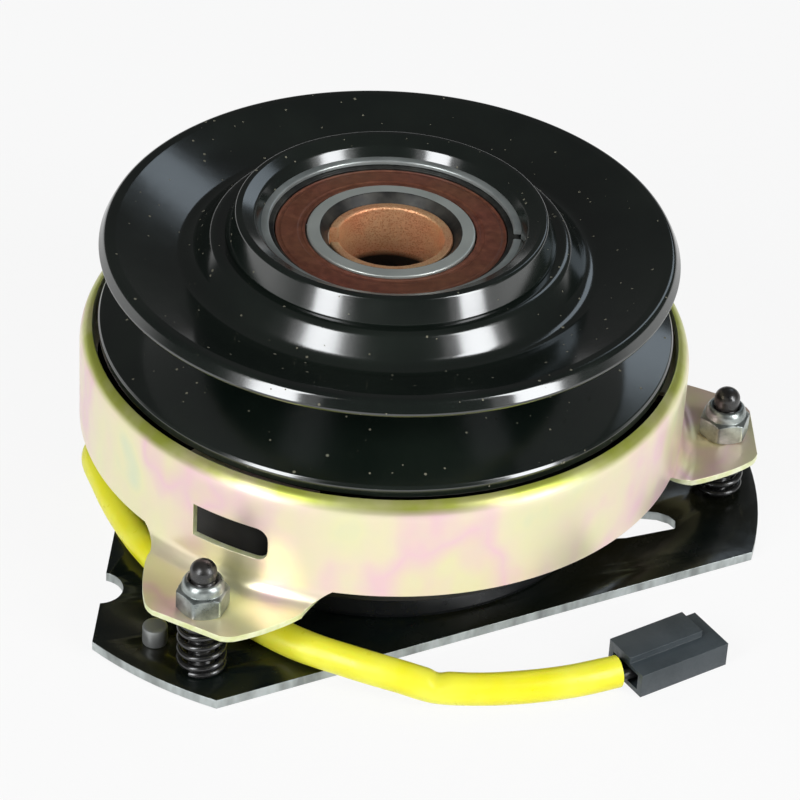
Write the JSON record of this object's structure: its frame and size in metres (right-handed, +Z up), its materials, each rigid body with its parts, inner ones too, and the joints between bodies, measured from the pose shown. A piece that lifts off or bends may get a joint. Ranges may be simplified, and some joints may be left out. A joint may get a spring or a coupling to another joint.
{
  "type": "electromagnetic clutch",
  "caption": "Belt-driving electromagnetic clutch and brake for a vertical engine shaft: pulley on a sealed bearing, brake cup on sprung studs, coil field, triangular plate and two-way lead.",
  "frame": {"origin": "on the shaft axis at the level of the mounting plate's underside, where the shaft bore begins", "axes": "+Z up the shaft towards the pulley; +X through the first adjusting stud; the lead lies towards -Y"},
  "size_m": [0.1698, 0.1798, 0.082],
  "materials": {
    "black_plate": "gloss black paint",
    "black_stud": "black oxide",
    "grey_pin": "satin grey",
    "black_steel": "satin black paint",
    "steel_rivet": "plain steel",
    "bobbin_plastic": "moulded nylon",
    "copper_wire": "enamelled copper",
    "potting": "cast epoxy",
    "black_rubber": "moulded rubber",
    "bearing_steel": "ground steel",
    "spring_steel": "tempered steel",
    "ball_steel": "polished steel",
    "cage_steel": "pressed steel",
    "rotor_steel": "turned steel",
    "friction": "moulded friction material",
    "copper_sleeve": "sintered copper-coloured metal",
    "seal_rubber": "moulded red-brown rubber",
    "black_gloss": "gloss black paint",
    "armature_steel": "ground steel",
    "yellow_zinc": "yellow passivated zinc plate",
    "black_spring": "black oxide spring wire",
    "zinc_nut": "zinc plate",
    "nylon": "black nylon",
    "yellow_pvc": "bright yellow PVC sleeve",
    "black_wire": "PVC insulation",
    "grey_nylon": "moulded dark grey nylon",
    "tinned_brass": "tinned brass"
  },
  "bodies": {
    "field": {"mounting_plate": "black_plate", "mounting_studs": "black_stud", "stop_pin": "grey_pin", "field_shell": "black_steel", "field_rivets": "steel_rivet", "coil_bobbin": "bobbin_plastic", "coil_winding": "copper_wire", "coil_potting": "potting", "lead_grommet": "black_rubber", "field_bearing_outer_ring": "bearing_steel", "field_bearing_clip": "spring_steel", "adjust_springs": "black_spring", "lead_sleeve": "yellow_pvc", "lead_wires": "black_wire", "connector_body": "grey_nylon", "connector_terminals": "tinned_brass"},
    "field_ball_train": {"field_bearing_balls": "ball_steel", "field_bearing_cage": "cage_steel"},
    "rotor": {"rotor": "rotor_steel", "friction_ring": "friction", "keyed_sleeve": "copper_sleeve", "bearing_inner_ring": "bearing_steel", "field_bearing_inner_ring": "bearing_steel"},
    "pulley_ball_train": {"bearing_balls": "ball_steel", "bearing_cage": "cage_steel"},
    "pulley": {"bearing_outer_ring": "bearing_steel", "bearing_seal_top": "seal_rubber", "bearing_seal_bottom": "seal_rubber", "retaining_ring": "spring_steel", "pulley_hub": "black_gloss", "pulley_upper_flange": "black_gloss", "pulley_lower_flange": "black_gloss", "drive_rivets": "steel_rivet", "leaf_springs": "spring_steel"},
    "armature": {"armature_plate": "armature_steel", "armature_rivets": "steel_rivet"},
    "brake": {"brake_flange": "yellow_zinc", "brake_brackets": "yellow_zinc", "brake_linings": "friction", "locknuts": "zinc_nut", "locknut_inserts": "nylon"}
  },
  "joints": [
    {"name": "rotor_spin", "type": "hinge", "parent": "field", "child": "rotor", "pos_m": [0, 0, 0], "axis": [0, 0, 1], "continuous": true},
    {"name": "field_balls_spin", "type": "hinge", "parent": "field", "child": "field_ball_train", "pos_m": [0, 0, 0], "axis": [0, 0, 1], "continuous": true},
    {"name": "pulley_spin", "type": "hinge", "parent": "rotor", "child": "pulley", "pos_m": [0, 0, 0], "axis": [0, 0, 1], "continuous": true},
    {"name": "pulley_balls_spin", "type": "hinge", "parent": "rotor", "child": "pulley_ball_train", "pos_m": [0, 0, 0], "axis": [0, 0, 1], "continuous": true},
    {"name": "armature_engage", "type": "slide", "parent": "pulley", "child": "armature", "axis": [0, 0, -1], "range_m": [0, 0.0005], "stiffness_N_per_m": 40000, "springref_m": -0.0005, "deforming": ["leaf_springs"]},
    {"name": "gap_adjust", "type": "slide", "parent": "field", "child": "brake", "axis": [0, 0, 1], "range_m": [0, 0.0008], "deforming": ["adjust_springs"]}
  ],
  "couplings": [
    {"joint": "field_balls_spin", "follows": "rotor_spin", "ratio": 0.46196},
    {"joint": "pulley_balls_spin", "follows": "pulley_spin", "ratio": 0.60353}
  ]
}
